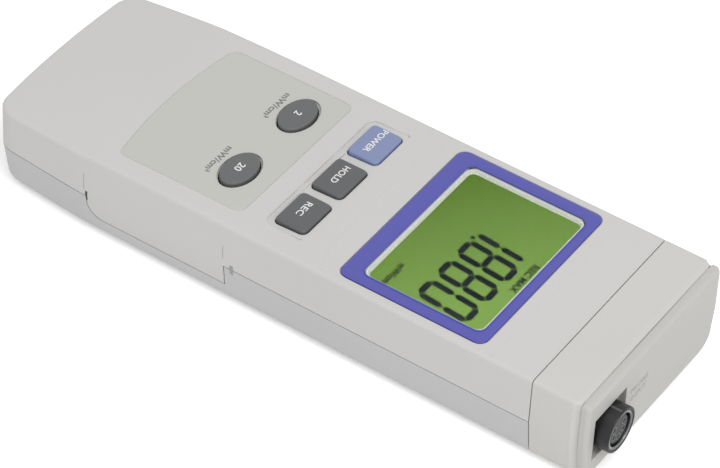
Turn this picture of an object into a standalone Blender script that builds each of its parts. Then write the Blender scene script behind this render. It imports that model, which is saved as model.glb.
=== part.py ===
"""Handheld light meter with a socket for a plug-in probe.

The meter lies on its back: +X is to the right of someone reading the display, +Y points to the
probe end and +Z out of the face. The origin is under the middle of the whole meter, at the back.
"""

import math

import bmesh
import bpy
from mathutils import Matrix, Vector

MM = 0.001

# Overall case
CASE_LENGTH = 202.0 * MM
CASE_WIDTH = 68.4 * MM
CASE_HEIGHT = 30.0 * MM
SOCKET_STANDOUT = 3.8 * MM
WALL = 2.2 * MM
SEAM_GAP = 0.3 * MM
FIT = 0.3 * MM
KEY_FIT = 0.35 * MM

END_Y = (CASE_LENGTH - SOCKET_STANDOUT) / 2
GRIP_Y = END_Y - CASE_LENGTH
HALF_WIDTH = CASE_WIDTH / 2

# Form of the case: parting height, drafts, edge radii, and the grip's taper and falling top
PARTING_Z = 14.4 * MM
FRONT_DRAFT = 0.01
BACK_DRAFT = 0.12
TOP_RADIUS = 1.2 * MM
BOTTOM_RADIUS = 5.0 * MM
CORNER_RADIUS = 7.5 * MM
GRIP_BULGE = 1.0 * MM
TAPER_LENGTH = 35.9 * MM
TAPER_SLOPE = 0.085
TAPER_EASE = 5.0 * MM
DROP_LENGTH = 73.9 * MM
DROP_DEPTH = 2.4 * MM

# Skirts of the front shell that lap down over the back shell's sides
SKIRT_GRIP_OFFSET = 35.9 * MM
SKIRT_LENGTH = 47.7 * MM
SKIRT_Z = 6.9 * MM
SKIRT_RADIUS = 5.0 * MM

# End cap and end plate
CAP_LENGTH = 18.2 * MM
PLATE_THICK = 2.8 * MM
PLATE_CHAMFER = 1.2 * MM
CAP_NECK = 1.0 * MM
CAP_NECK_LENGTH = 2.0 * MM
SPIGOT_LENGTH = 4.0 * MM
SPIGOT_WALL = 1.6 * MM

# Display
BEZEL_WIDTH = 61.8 * MM
BEZEL_LENGTH = 47.2 * MM
BEZEL_THICK = 0.5 * MM
BEZEL_STANDOUT = 0.15 * MM
BEZEL_RADIUS = 2.8 * MM
BEZEL_FROM_END = 59.4 * MM
VIEW_WIDTH = 53.4 * MM
VIEW_LENGTH = 38.2 * MM
VIEW_RADIUS = 2.4 * MM
VIEW_SHIFT = 1.2 * MM
WINDOW_THICK = 0.4 * MM
LCD_FRAME_EDGE = 1.9 * MM
LCD_FRAME_LIP = 0.7 * MM
LCD_THICK = 1.8 * MM
BACKLIGHT_THICK = 2.0 * MM
STRIP_WIDTH = 1.6 * MM

# Keys
KEY_PITCH = 17.4 * MM
KEY_WIDTH = 13.7 * MM
KEY_LENGTH = 10.1 * MM
KEY_RADIUS = 1.5 * MM
KEY_FROM_END = 103.5 * MM
KEY_STANDOUT = 1.0 * MM
KEY_EDGE = 0.6 * MM
KEY_TRAVEL = 0.8 * MM
KEY_FLANGE = 1.0 * MM
OVAL_PITCH = 28.0 * MM
OVAL_SHIFT = -0.8 * MM
OVAL_WIDTH = 14.7 * MM
OVAL_LENGTH = 9.4 * MM
OVAL_FROM_END = 128.1 * MM
TRAY_WIDTH = 52.8 * MM
TRAY_LENGTH = 14.6 * MM
TRAY_DEPTH = 0.7 * MM
TRAY_RADIUS = 2.6 * MM
TRAY_FROM_END = 110.7 * MM
DOME_RADIUS = 3.2 * MM
MAT_THICK = 1.0 * MM

# Label panel in the face
LABEL_WIDTH = 54.4 * MM
LABEL_LENGTH = 41.7 * MM
LABEL_BULGE = 2.2 * MM
LABEL_RADIUS = 2.2 * MM
LABEL_THICK = 0.4 * MM
LABEL_INSET = 0.1 * MM
LABEL_FROM_END = 117.8 * MM

# Circuit board
BOARD_WIDTH = 54.0 * MM
BOARD_THICK = 1.6 * MM
BOARD_Z = 20.0 * MM
BOARD_FRONT_FROM_END = 32.6 * MM
BOARD_LENGTH = 103.5 * MM
BOARD_SCREW_LENGTH = 7.0 * MM
CHIP_THICK = 1.5 * MM

# Screws
SCREW_RADIUS = 1.25 * MM
HEAD_RADIUS = 2.5 * MM
HEAD_THICK = 1.6 * MM
BOSS_RADIUS = 3.0 * MM
PILOT_RADIUS = 1.6 * MM
SINK_DEPTH = 3.6 * MM
CASE_SCREW_LENGTH = 16.0 * MM
SCREW_PLACES = ((22.0 * MM, 190.0 * MM), (25.5 * MM, 27.1 * MM))
POST_RADIUS = 2.2 * MM
POST_X = 24.0 * MM
POST_FROM_END = (90.1 * MM, 115.7 * MM)

# Battery, its well and its cover
BATTERY_WIDTH = 26.5 * MM
BATTERY_LENGTH = 48.5 * MM
BATTERY_DEPTH = 17.5 * MM
BATTERY_FROM_END = 136.1 * MM
BATTERY_CLEAR = 0.4 * MM
WELL_WALL = 1.4 * MM
WELL_TOP_Z = 18.0 * MM
SNAP_ROOM = 6.5 * MM
SNAP_THICK = 3.6 * MM
STUD_PITCH = 12.9 * MM
STUD_RADIUS = 2.9 * MM
STUD_LENGTH = 2.6 * MM
COVER_EDGE = 3.3 * MM
COVER_THICK = 2.0 * MM
COVER_TAB = 7.5 * MM
COVER_HEAD_Z = 0.2 * MM
COVER_HEAD_THICK = 0.9 * MM
COVER_SCREW_GAP = 0.2 * MM
COVER_SCREW_LENGTH = 4.8 * MM
PAN_EXTRA = 2.0 * MM
PAD_THICK = 1.0 * MM
LEAD_RADIUS = 0.7 * MM

# Tilt stand on the back
STAND_WIDTH = 41.2 * MM
STAND_LENGTH = 66.0 * MM
STAND_THICK = 2.0 * MM
STAND_HINGE_FROM_END = 49.9 * MM
STAND_AXIS_Z = 1.9 * MM
STAND_BARREL = 1.3 * MM
STAND_PIN_RADIUS = 1.0 * MM
STAND_PIN_LENGTH = 2.2 * MM
STAND_GAP = 0.4 * MM

# Probe socket in the end plate
SOCKET_X = 22.4 * MM
SOCKET_Z = 15.1 * MM
SOCKET_RADIUS = 6.95 * MM
SOCKET_WALL = 0.95 * MM
SOCKET_DEPTH = 17.5 * MM
HOLE_WIDTH = 15.8 * MM
HOLE_HEIGHT = 15.2 * MM
SHIELD_WALL = 0.5 * MM
INSERT_RADIUS = 4.5 * MM
INSERT_SETBACK = 0.8 * MM
CONTACT_PITCH_RADIUS = 2.8 * MM
CONTACT_RADIUS = 0.8 * MM
CONTACT_COUNT = 5
SOCKET_BOARD_SIZE = 19.0 * MM

# Places worked out from the sizes above
SEAM_Y = END_Y - CAP_LENGTH
BEZEL_Y = END_Y - BEZEL_FROM_END
VIEW_Y = BEZEL_Y + VIEW_SHIFT
KEY_Y = END_Y - KEY_FROM_END
OVAL_Y = END_Y - OVAL_FROM_END
LABEL_TOP_Y = END_Y - LABEL_FROM_END
LABEL_CORNER_Y = LABEL_TOP_Y - LABEL_LENGTH
TRAY_GRIP_Y = END_Y - TRAY_FROM_END
TAPER_Y = GRIP_Y + TAPER_LENGTH
DROP_Y = GRIP_Y + DROP_LENGTH
SKIRT_Y = GRIP_Y + SKIRT_GRIP_OFFSET
CEILING_Z = CASE_HEIGHT - WALL
BEZEL_FLOOR_Z = CASE_HEIGHT + BEZEL_STANDOUT - BEZEL_THICK - FIT
BOARD_TOP_Z = BOARD_Z + BOARD_THICK
BOARD_FRONT_Y = END_Y - BOARD_FRONT_FROM_END
BOARD_GRIP_Y = BOARD_FRONT_Y - BOARD_LENGTH
LCD_FRAME_TOP_Z = BEZEL_FLOOR_Z
LCD_TOP_Z = LCD_FRAME_TOP_Z - LCD_FRAME_LIP
FLANGE_TOP_Z = CEILING_Z - FIT - 0.1 * MM
BATTERY_TOP_Y = END_Y - BATTERY_FROM_END
BATTERY_GRIP_Y = BATTERY_TOP_Y - BATTERY_LENGTH
COVER_FLOOR_Z = COVER_THICK + FIT
BATTERY_Z = COVER_FLOOR_Z + PAD_THICK + FIT
PAN_Z = COVER_FLOOR_Z + PAN_EXTRA
STAND_HINGE_Y = END_Y - STAND_HINGE_FROM_END
SOCKET_TIP_Y = END_Y + SOCKET_STANDOUT
SOCKET_BACK_Y = SOCKET_TIP_Y - SOCKET_DEPTH
PLATE_BACK_Y = END_Y - PLATE_THICK

PARTS_NAME = "light_meter"
CUTTERS_NAME = "cutters"


def clear_scene():
    for old in list(bpy.data.objects):
        bpy.data.objects.remove(old, do_unlink=True)


def make_collection(name):
    collection = bpy.data.collections.new(name)
    bpy.context.scene.collection.children.link(collection)
    return collection


def material(name, colour, roughness, metallic=0.0, alpha=1.0):
    """A Principled material; colour is linear red, green and blue."""
    made = bpy.data.materials.new(name)
    made.use_nodes = True
    shader = made.node_tree.nodes["Principled BSDF"]
    shader.inputs["Base Color"].default_value = (*colour, 1.0)
    shader.inputs["Roughness"].default_value = roughness
    shader.inputs["Metallic"].default_value = metallic
    shader.inputs["Alpha"].default_value = alpha
    made.diffuse_color = (*colour, alpha)
    return made


# ---------------------------------------------------------------- shapes


def finish(name, mesh_builder, look=None, origin=(0, 0, 0)):
    """Turn a bmesh in world places into an object with the given origin.

    Without a material it is a cutter: a helper shape that the finished model leaves out.
    """
    bmesh.ops.recalc_face_normals(mesh_builder, faces=mesh_builder.faces)
    bmesh.ops.translate(mesh_builder, verts=mesh_builder.verts, vec=-Vector(origin))
    mesh = bpy.data.meshes.new(name)
    mesh_builder.to_mesh(mesh)
    mesh_builder.free()
    made = bpy.data.objects.new(name, mesh)
    made.location = origin
    if look is None:
        cutters.objects.link(made)
        made.hide_render = True
        made.display_type = "WIRE"
    else:
        parts.objects.link(made)
        mesh.materials.append(look)
        mesh.shade_smooth()
        mesh.set_sharp_from_angle(angle=math.radians(35))
    return made


def boolean(target, tool, operation="DIFFERENCE"):
    change = target.modifiers.new(tool.name, "BOOLEAN")
    change.object = tool
    change.operation = operation
    change.solver = "EXACT"


def add_box(builder, low, high, edge=0.0):
    """A box between two corners, with its edges rounded by edge."""
    size = Vector(high) - Vector(low)
    middle = (Vector(high) + Vector(low)) / 2
    place = Matrix.Translation(middle) @ Matrix.Diagonal((*size, 1.0))
    made = bmesh.ops.create_cube(builder, size=1.0, matrix=place)
    if edge:
        edges = list({e for v in made["verts"] for e in v.link_edges})
        bmesh.ops.bevel(builder, geom=edges, offset=edge, segments=2, profile=0.5, affect="EDGES")


def box(name, low, high, look=None, edge=0.0):
    builder = bmesh.new()
    add_box(builder, low, high, edge)
    return finish(name, builder, look)


SOCKET_TURN = Matrix.Rotation(math.radians(-90), 4, "X")
AXIS_TURNS = {
    "X": Matrix.Rotation(math.radians(90), 4, "Y"),
    "Y": SOCKET_TURN,
    "Z": Matrix.Identity(4),
}


def add_rod(builder, start, length, radius, axis="Z", tip_radius=None, sides=16):
    """A round rod or cone from a start point along +axis."""
    turn = AXIS_TURNS[axis]
    middle = Vector(start) + turn @ Vector((0, 0, length / 2))
    bmesh.ops.create_cone(
        builder, cap_ends=True, segments=sides, radius1=radius,
        radius2=radius if tip_radius is None else tip_radius, depth=length,
        matrix=Matrix.Translation(middle) @ turn)


def rods(name, starts, length, radius, look=None, axis="Z", tip_radius=None, sides=16):
    """One or more equal rods in one object; more than one serves only as a cutter."""
    builder = bmesh.new()
    for start in starts:
        add_rod(builder, start, length, radius, axis, tip_radius, sides)
    return finish(name, builder, look)


def screw(name, start, head_radius, head_thick, shank_radius, length, look):
    """A screw driven along +Z: a flat head and a plain shank, turned as one solid."""
    return turned(name, [
        (0, length), (shank_radius, length), (shank_radius, head_thick),
        (head_radius, head_thick), (head_radius, 0), (0, 0)],
        look, start, Matrix.Identity(4), 16)


def prism_builder(points, low, high, axis="Z"):
    """A flat outline carried from low to high along an axis.

    The outline's points are (x, y) for axis Z, (y, z) for axis X and (x, z) for axis Y.
    """
    place = {
        "Z": lambda a, b: (a, b, low),
        "X": lambda a, b: (low, a, b),
        "Y": lambda a, b: (a, low, b),
    }[axis]
    along = {"X": Vector((1, 0, 0)), "Y": Vector((0, 1, 0)), "Z": Vector((0, 0, 1))}[axis]
    builder = bmesh.new()
    face = builder.faces.new([builder.verts.new(place(a, b)) for a, b in points])
    grown = bmesh.ops.extrude_face_region(builder, geom=[face])
    moved = [item for item in grown["geom"] if isinstance(item, bmesh.types.BMVert)]
    bmesh.ops.translate(builder, verts=moved, vec=along * (high - low))
    return builder


def prism(name, points, low, high, look=None, axis="Z"):
    return finish(name, prism_builder(points, low, high, axis), look)


def arc(centre, radius, start, end, steps=4):
    """Points on an arc; the angles are in degrees."""
    for step in range(steps + 1):
        angle = math.radians(start + (end - start) * step / steps)
        yield (centre[0] + radius * math.cos(angle), centre[1] + radius * math.sin(angle))


def rounded_rectangle(centre, width, length, radius):
    across = width / 2 - radius
    along = length / 2 - radius
    points = []
    for sx, sy, start in ((1, 1, 0), (-1, 1, 90), (-1, -1, 180), (1, -1, 270)):
        corner = (centre[0] + sx * across, centre[1] + sy * along)
        points.extend(arc(corner, radius, start, start + 90))
    return points


def ellipse(centre, width, length, steps=28):
    return [(centre[0] + width / 2 * math.cos(2 * math.pi * i / steps),
             centre[1] + length / 2 * math.sin(2 * math.pi * i / steps)) for i in range(steps)]


def turned(name, profile, look, centre, axis_turn, sides=32):
    """A turned piece from (radius, height) points; a Screw modifier carries them round."""
    mesh = bpy.data.meshes.new(name)
    closed = [(i, (i + 1) % len(profile)) for i in range(len(profile))]
    mesh.from_pydata([(r, 0, h) for r, h in profile], closed, [])
    mesh.materials.append(look)
    made = bpy.data.objects.new(name, mesh)
    made.matrix_world = Matrix.Translation(centre) @ axis_turn
    parts.objects.link(made)
    screw = made.modifiers.new("turn", "SCREW")
    screw.steps = sides
    screw.render_steps = sides
    screw.use_merge_vertices = True
    screw.merge_threshold = 0.00001
    return made


def lead(name, route, radius, look):
    """A round lead along a route, as a curve with filled caps."""
    curve = bpy.data.curves.new(name, "CURVE")
    curve.dimensions = "3D"
    curve.bevel_depth = radius
    curve.bevel_resolution = 2
    curve.use_fill_caps = True
    curve.materials.append(look)
    spline = curve.splines.new("POLY")
    spline.points.add(len(route) - 1)
    for point, place in zip(spline.points, route):
        point.co = (*place, 1.0)
    made = bpy.data.objects.new(name, curve)
    parts.objects.link(made)
    return made


# ---------------------------------------------------------------- the case's form


def half_width(y):
    """Half the case's width at the parting line: constant, then tapering to the grip end."""
    past = max(0.0, TAPER_Y - y)
    return HALF_WIDTH - TAPER_SLOPE * past * past / (past + TAPER_EASE)


def top_drop(y):
    """How far the face falls below its full height towards the grip end."""
    past = max(0.0, DROP_Y - y)
    return DROP_DEPTH * (past / DROP_LENGTH) ** 2


def half_outline(inset, front_y):
    """Half the case in plan, from the probe end round to the middle of the grip end."""
    edge_y = GRIP_Y + GRIP_BULGE
    corner_y = edge_y + CORNER_RADIUS
    corner_x = half_width(corner_y) - CORNER_RADIUS
    points = []
    straight_steps = 13
    for step in range(straight_steps):
        y = front_y if step == 0 else DROP_Y + (corner_y - DROP_Y) * step / straight_steps
        points.append((half_width(y) - inset, y))
    points.extend(arc((corner_x, corner_y), CORNER_RADIUS - inset, 0, -90, 6))
    end_steps = 3
    for step in range(1, end_steps + 1):
        x = corner_x * (1 - step / end_steps)
        bulge = GRIP_BULGE * (1 - (x / corner_x) ** 2)
        points.append((x, edge_y + inset - bulge))
    return points


def side_profile(wall):
    """(inset, z) up the case's side, from the back to the face, moved in by wall."""
    low_radius = max(BOTTOM_RADIUS - wall, 0.5 * MM)
    high_radius = max(TOP_RADIUS - wall, 0.5 * MM)
    low_z = wall
    high_z = CASE_HEIGHT - wall
    points = []
    low_inset = wall + BACK_DRAFT * (PARTING_Z - low_z - low_radius)
    for y, z in arc((low_inset + low_radius, low_z + low_radius), low_radius, 270, 180, 5):
        points.append((y, z))
    points.append((wall, PARTING_Z))
    high_inset = wall + FRONT_DRAFT * (high_z - high_radius - PARTING_Z)
    for y, z in arc((high_inset + high_radius, high_z - high_radius), high_radius, 180, 90, 4):
        points.append((y, z))
    return points


def case_builder(wall, front_y, lowered=0.0):
    """The whole case as one block: level outlines bridged from the back up to the face."""
    builder = bmesh.new()
    rings = []
    for inset, z in side_profile(wall):
        half = half_outline(inset, front_y)
        rise = max(0.0, (z - PARTING_Z) / (CASE_HEIGHT - PARTING_Z))
        right = [builder.verts.new((x, y, z - lowered * rise - top_drop(y) * rise))
                 for x, y in half]
        left = [builder.verts.new((-v.co.x, v.co.y, v.co.z)) for v in right[:-1]]
        rings.append((right, left))
    for (right, left), (next_right, next_left) in zip(rings, rings[1:]):
        low = right + left[::-1]
        high = next_right + next_left[::-1]
        for i in range(len(low)):
            j = (i + 1) % len(low)
            builder.faces.new((low[i], low[j], high[j], high[i]))
    for right, left in (rings[0], rings[-1]):
        for i in range(len(left) - 1):
            builder.faces.new((right[i], right[i + 1], left[i + 1], left[i]))
        builder.faces.new((right[-2], right[-1], left[-1]))
    return builder


def parting_line(offset):
    """(y, z) along the case's side where the two shells meet, with the skirt's dip."""
    front = SKIRT_Y + SKIRT_LENGTH - offset
    back = SKIRT_Y + offset
    floor = SKIRT_Z + offset
    points = [(GRIP_Y - WALL, PARTING_Z + offset), (back, PARTING_Z + offset)]
    corner = (back + SKIRT_RADIUS, floor + SKIRT_RADIUS)
    points.extend(arc(corner, SKIRT_RADIUS, 180, 270))
    points.append((front, floor))
    points.append((front, PARTING_Z + offset))
    points.append((END_Y, PARTING_Z + offset))
    return points


def region(name, offset, far_z):
    """Everything on one side of the parting line."""
    points = parting_line(offset)
    points.append((END_Y, far_z))
    points.append((GRIP_Y - WALL, far_z))
    return prism(name, points, -CASE_WIDTH, CASE_WIDTH, axis="X")


def screw_spots():
    return [(side * x, END_Y - from_end) for x, from_end in SCREW_PLACES for side in (-1, 1)]


def post_spots():
    return [(side * POST_X, END_Y - from_end) for from_end in POST_FROM_END for side in (-1, 1)]


def key_spots():
    """Name, outline shape and middle of each key."""
    return [
        ("power_key", "block", (-KEY_PITCH, KEY_Y)),
        ("hold_key", "block", (0.0, KEY_Y)),
        ("record_key", "block", (KEY_PITCH, KEY_Y)),
        ("range_2_key", "oval", (OVAL_SHIFT - OVAL_PITCH / 2, OVAL_Y)),
        ("range_20_key", "oval", (OVAL_SHIFT + OVAL_PITCH / 2, OVAL_Y)),
    ]


def key_outline(shape, middle, grow):
    if shape == "oval":
        return ellipse(middle, OVAL_WIDTH + 2 * grow, OVAL_LENGTH + 2 * grow)
    return rounded_rectangle(middle, KEY_WIDTH + 2 * grow, KEY_LENGTH + 2 * grow,
                             KEY_RADIUS + grow)


def label_outline(grow):
    """The label panel: straight at the keys, bowed out at the grip, with round corners."""
    x = LABEL_WIDTH / 2 + grow
    top = LABEL_TOP_Y + grow
    low = LABEL_CORNER_Y - grow
    radius = LABEL_RADIUS + grow
    points = list(arc((x - radius, top - radius), radius, 0, 90))
    points.extend(arc((radius - x, top - radius), radius, 90, 180))
    points.extend(arc((radius - x, low + radius), radius, 180, 262, 4))
    bow_steps = 8
    for step in range(1, bow_steps):
        across = (x - radius) * (2 * step / bow_steps - 1)
        bow = LABEL_BULGE * (1 - (across / (x - radius)) ** 2)
        points.append((across, low - bow))
    points.extend(arc((x - radius, low + radius), radius, 278, 360, 4))
    return points


# ---------------------------------------------------------------- shells


def front_shell(look, inner):
    """The face of the case with its holes, posts and screw bosses."""
    shell = finish("front_shell", case_builder(0.0, SEAM_Y), look)
    boolean(shell, inner)
    boolean(shell, region("front_region", SEAM_GAP / 2, 2 * CASE_HEIGHT), "INTERSECT")
    boss_low = PARTING_Z + SEAM_GAP / 2
    bosses = bmesh.new()
    for x, y in screw_spots():
        boss_top = CEILING_Z - top_drop(y) + WALL / 2
        add_rod(bosses, (x, y, boss_low), boss_top - boss_low, BOSS_RADIUS)
    boolean(shell, finish("front_bosses", bosses), "UNION")
    post_low = BOARD_TOP_Z + FIT
    posts = rods("board_posts", [(x, y, post_low) for x, y in post_spots()],
                 CEILING_Z + WALL / 2 - post_low, POST_RADIUS)
    boolean(shell, posts, "UNION")
    pilots = rods("front_pilots", [(x, y, boss_low - WALL) for x, y in screw_spots()],
                  8.0 * MM, PILOT_RADIUS)
    boolean(shell, pilots)
    post_pilots = rods("post_pilots", [(x, y, post_low - WALL) for x, y in post_spots()],
                       WALL + 4.0 * MM, PILOT_RADIUS - FIT)
    boolean(shell, post_pilots)
    pocket = prism("bezel_pocket", rounded_rectangle(
        (0, BEZEL_Y), BEZEL_WIDTH + 2 * FIT, BEZEL_LENGTH + 2 * FIT, BEZEL_RADIUS + FIT),
        BEZEL_FLOOR_Z, 2 * CASE_HEIGHT)
    boolean(shell, pocket)
    boolean(shell, flat_box("display_opening", view_box(LCD_FRAME_EDGE + FIT), PARTING_Z,
                            2 * CASE_HEIGHT))
    boolean(shell, key_tray())
    label_cut = prism("label_recess", label_outline(FIT), PARTING_Z, 2 * CASE_HEIGHT)
    floor = finish("label_floor", case_builder(0.0, END_Y, LABEL_INSET + LABEL_THICK + FIT))
    boolean(label_cut, floor)
    boolean(shell, label_cut)
    for name, shape, middle in key_spots():
        hole = prism(name + "_hole", key_outline(shape, middle, KEY_FIT), PARTING_Z,
                     2 * CASE_HEIGHT)
        boolean(shell, hole)
    return shell


def key_tray():
    """A shallow wedge round the three square keys, deepest on the grip side."""
    middle = (0, TRAY_GRIP_Y + TRAY_LENGTH / 2)
    outline = rounded_rectangle(middle, TRAY_WIDTH, TRAY_LENGTH, TRAY_RADIUS)
    builder = prism_builder(outline, CASE_HEIGHT - TRAY_DEPTH, 2 * CASE_HEIGHT)
    rise = (TRAY_DEPTH + 0.05 * MM) / TRAY_LENGTH
    for vertex in builder.verts:
        if vertex.co.z < CASE_HEIGHT:
            vertex.co.z += rise * (vertex.co.y - TRAY_GRIP_Y)
    return finish("key_tray", builder)


def well_box():
    """Low and high corners of the room for the battery, its studs and its snap."""
    return ((-BATTERY_WIDTH / 2 - BATTERY_CLEAR, BATTERY_GRIP_Y - BATTERY_CLEAR),
            (BATTERY_WIDTH / 2 + BATTERY_CLEAR, BATTERY_TOP_Y + SNAP_ROOM))


def cover_box():
    """Low and high corners of the battery cover's plate."""
    (low_x, low_y), (high_x, high_y) = well_box()
    return ((low_x - COVER_EDGE + FIT, low_y - WELL_WALL),
            (high_x + COVER_EDGE - FIT, high_y - 2 * COVER_EDGE + COVER_TAB))


def grown(corners, by):
    (low_x, low_y), (high_x, high_y) = corners
    return (low_x - by, low_y - by), (high_x + by, high_y + by)


def flat_box(name, corners, low_z, high_z, look=None, edge=0.0):
    low, high = corners
    return box(name, (*low, low_z), (*high, high_z), look, edge)


def cover_screw_y():
    return cover_box()[1][1] - COVER_TAB / 2


def stand_box():
    return ((-STAND_WIDTH / 2, STAND_HINGE_Y - STAND_LENGTH),
            (STAND_WIDTH / 2, STAND_HINGE_Y + STAND_BARREL))


def back_shell(look, inner):
    """The back of the case: battery well, cover seat, stand recess and screw bosses."""
    shell = finish("back_shell", case_builder(0.0, SEAM_Y), look)
    boolean(shell, inner)
    boolean(shell, region("back_region", -SEAM_GAP / 2, -CASE_HEIGHT), "INTERSECT")
    boss_top = PARTING_Z - SEAM_GAP / 2
    bosses = rods("back_bosses", [(x, y, WALL / 2) for x, y in screw_spots()],
                  boss_top - WALL / 2, BOSS_RADIUS + WALL / 2)
    boolean(shell, bosses, "UNION")
    cover = cover_box()
    boolean(shell, flat_box("cover_pan", grown(cover, FIT + PAN_EXTRA), WALL / 2, PAN_Z), "UNION")
    boss_y = cover_screw_y()
    boolean(shell, rods("cover_boss", [(0, boss_y, PAN_Z / 2)], PAN_Z / 2 + 2.0 * MM,
                        BOSS_RADIUS), "UNION")
    stand = stand_box()
    stand_pan_z = STAND_AXIS_Z + STAND_BARREL + STAND_GAP + 1.4 * MM
    stand_margin = STAND_PIN_LENGTH + PAN_EXTRA
    boolean(shell, flat_box("stand_pan", grown(stand, stand_margin), WALL / 2, stand_pan_z),
            "UNION")
    well = well_box()
    walls = flat_box("well_walls", grown(well, WELL_WALL), PAN_Z - WALL / 2, WELL_TOP_Z)
    boolean(walls, flat_box("well_room", well, 0.0, CASE_HEIGHT))
    lead_notch = box("lead_notch", (-BATTERY_WIDTH / 2, well[1][1] - WALL, 9.0 * MM),
                     (BATTERY_WIDTH / 2, well[1][1] + 2 * WELL_WALL, CASE_HEIGHT))
    boolean(walls, lead_notch)
    boolean(shell, walls, "UNION")
    boolean(shell, flat_box("cover_seat", grown(cover, FIT), -WALL, COVER_FLOOR_Z))
    (low_x, low_y), (high_x, high_y) = well
    mouth = ((low_x, low_y), (high_x, high_y - 2 * COVER_EDGE))
    boolean(shell, flat_box("battery_mouth", mouth, -WALL, PAN_Z + WALL))
    boolean(shell, rods("cover_pilot", [(0, boss_y, 0)], PAN_Z + 1.2 * MM, PILOT_RADIUS))
    boolean(shell, flat_box("stand_recess", grown(stand, STAND_GAP), -WALL,
                            STAND_AXIS_Z + STAND_BARREL + STAND_GAP))
    reach = STAND_WIDTH / 2 + STAND_PIN_LENGTH + STAND_GAP
    boolean(shell, rods("stand_sockets", [(-reach, STAND_HINGE_Y, STAND_AXIS_Z)], 2 * reach,
                        STAND_PIN_RADIUS + FIT, axis="X"))
    shafts = rods("screw_clearance", [(x, y, 0) for x, y in screw_spots()], CASE_HEIGHT,
                  PILOT_RADIUS)
    boolean(shell, shafts)
    sinks = rods("screw_sinks", [(x, y, -WALL) for x, y in screw_spots()],
                 WALL + SINK_DEPTH, HEAD_RADIUS + FIT)
    boolean(shell, sinks)
    return shell


def case_screws(look):
    """Four screws that hold the shells together, driven from the back."""
    for number, (x, y) in enumerate(screw_spots(), 1):
        screw(f"case_screw_{number}", (x, y, SINK_DEPTH - FIT - HEAD_THICK), HEAD_RADIUS,
              HEAD_THICK, SCREW_RADIUS, CASE_SCREW_LENGTH, look)


def cap_section(side_in, top_in, low_in):
    """The case's section across X and Z at the probe end, moved in on each side."""
    points = [(HALF_WIDTH - inset - side_in, z) for inset, z in side_profile(0.0)]
    fitted = []
    for x, z in points:
        share = z / CASE_HEIGHT
        fitted.append((x, z * (CASE_HEIGHT - top_in - low_in) / CASE_HEIGHT + low_in))
    return fitted + [(-x, z) for x, z in reversed(fitted)]


def section_loft(stations):
    """Sections at (y, side, top, low insets) bridged along Y and closed at both ends."""
    builder = bmesh.new()
    rings = []
    for y, side_in, top_in, low_in in stations:
        section = cap_section(side_in, top_in, low_in)
        rings.append([builder.verts.new((x, y, z)) for x, z in section])
    for low, high in zip(rings, rings[1:]):
        for i in range(len(low)):
            j = (i + 1) % len(low)
            builder.faces.new((low[i], low[j], high[j], high[i]))
    builder.faces.new(rings[0])
    builder.faces.new(rings[-1])
    return builder


def end_cap(look):
    """The sleeve beyond the seam, necked before the end plate, with a spigot in the shells."""
    start = SEAM_Y + SEAM_GAP
    stop = PLATE_BACK_Y - FIT
    neck = CAP_NECK
    sleeve = finish("end_cap", section_loft([
        (start, 0, 0, 0),
        (stop - CAP_NECK_LENGTH, 0, 0, 0),
        (stop - CAP_NECK_LENGTH / 2, neck * 0.7, neck * 0.1, neck * 0.3),
        (stop, neck, neck * 0.3, neck * 0.5),
    ]), look)
    spigot_in = WALL + FIT
    spigot = finish("spigot", section_loft([
        (start - SPIGOT_LENGTH, spigot_in, spigot_in, spigot_in),
        (start + WALL, spigot_in, spigot_in, spigot_in),
    ]))
    boolean(sleeve, spigot, "UNION")
    hollow_in = spigot_in + SPIGOT_WALL
    hollow = finish("cap_hollow", section_loft([
        (start - 2 * SPIGOT_LENGTH, hollow_in, hollow_in, hollow_in),
        (END_Y, hollow_in, hollow_in, hollow_in),
    ]))
    boolean(sleeve, hollow)
    return sleeve


def end_plate(look):
    """The plate that closes the probe end, with chamfered edges and the socket's hole."""
    edge = PLATE_CHAMFER
    plate = finish("end_plate", section_loft([
        (PLATE_BACK_Y, 0.3 * MM, 0.3 * MM, 0.6 * MM),
        (END_Y - edge, 0.3 * MM, 0.3 * MM, 1.2 * MM),
        (END_Y - edge * 0.3, edge * 0.7, edge * 0.6, edge * 1.6),
        (END_Y, edge * 1.2, edge, edge * 2.4),
    ]), look)
    hole = box("socket_hole",
               (SOCKET_X - HOLE_WIDTH / 2, PLATE_BACK_Y - WALL, SOCKET_Z - HOLE_HEIGHT / 2),
               (SOCKET_X + HOLE_WIDTH / 2, END_Y + WALL, SOCKET_Z + HOLE_HEIGHT / 2))
    boolean(plate, hole)
    return plate


# ---------------------------------------------------------------- face pieces


def label_panel(look):
    """The thin panel let into the face round the two oval keys."""
    panel = prism("label_panel", label_outline(0.0), PARTING_Z, 2 * CASE_HEIGHT, look)
    top = finish("label_top", case_builder(0.0, END_Y, LABEL_INSET))
    boolean(panel, top, "INTERSECT")
    under = finish("label_under", case_builder(0.0, END_Y, LABEL_INSET + LABEL_THICK))
    boolean(panel, under)
    for name, shape, middle in key_spots():
        if shape == "oval":
            hole = prism(name + "_label_hole", key_outline(shape, middle, 2 * KEY_FIT),
                         PARTING_Z, 2 * CASE_HEIGHT)
            boolean(panel, hole)
    return panel


def display_bezel(look):
    top = CASE_HEIGHT + BEZEL_STANDOUT
    builder = prism_builder(rounded_rectangle((0, BEZEL_Y), BEZEL_WIDTH, BEZEL_LENGTH,
                                              BEZEL_RADIUS), top - BEZEL_THICK, top)
    bezel = finish("display_bezel", builder, look)
    view = prism("view_hole", rounded_rectangle((0, VIEW_Y), VIEW_WIDTH, VIEW_LENGTH,
                                                VIEW_RADIUS), 0.0, 2 * CASE_HEIGHT)
    boolean(bezel, view)
    return bezel


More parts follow.
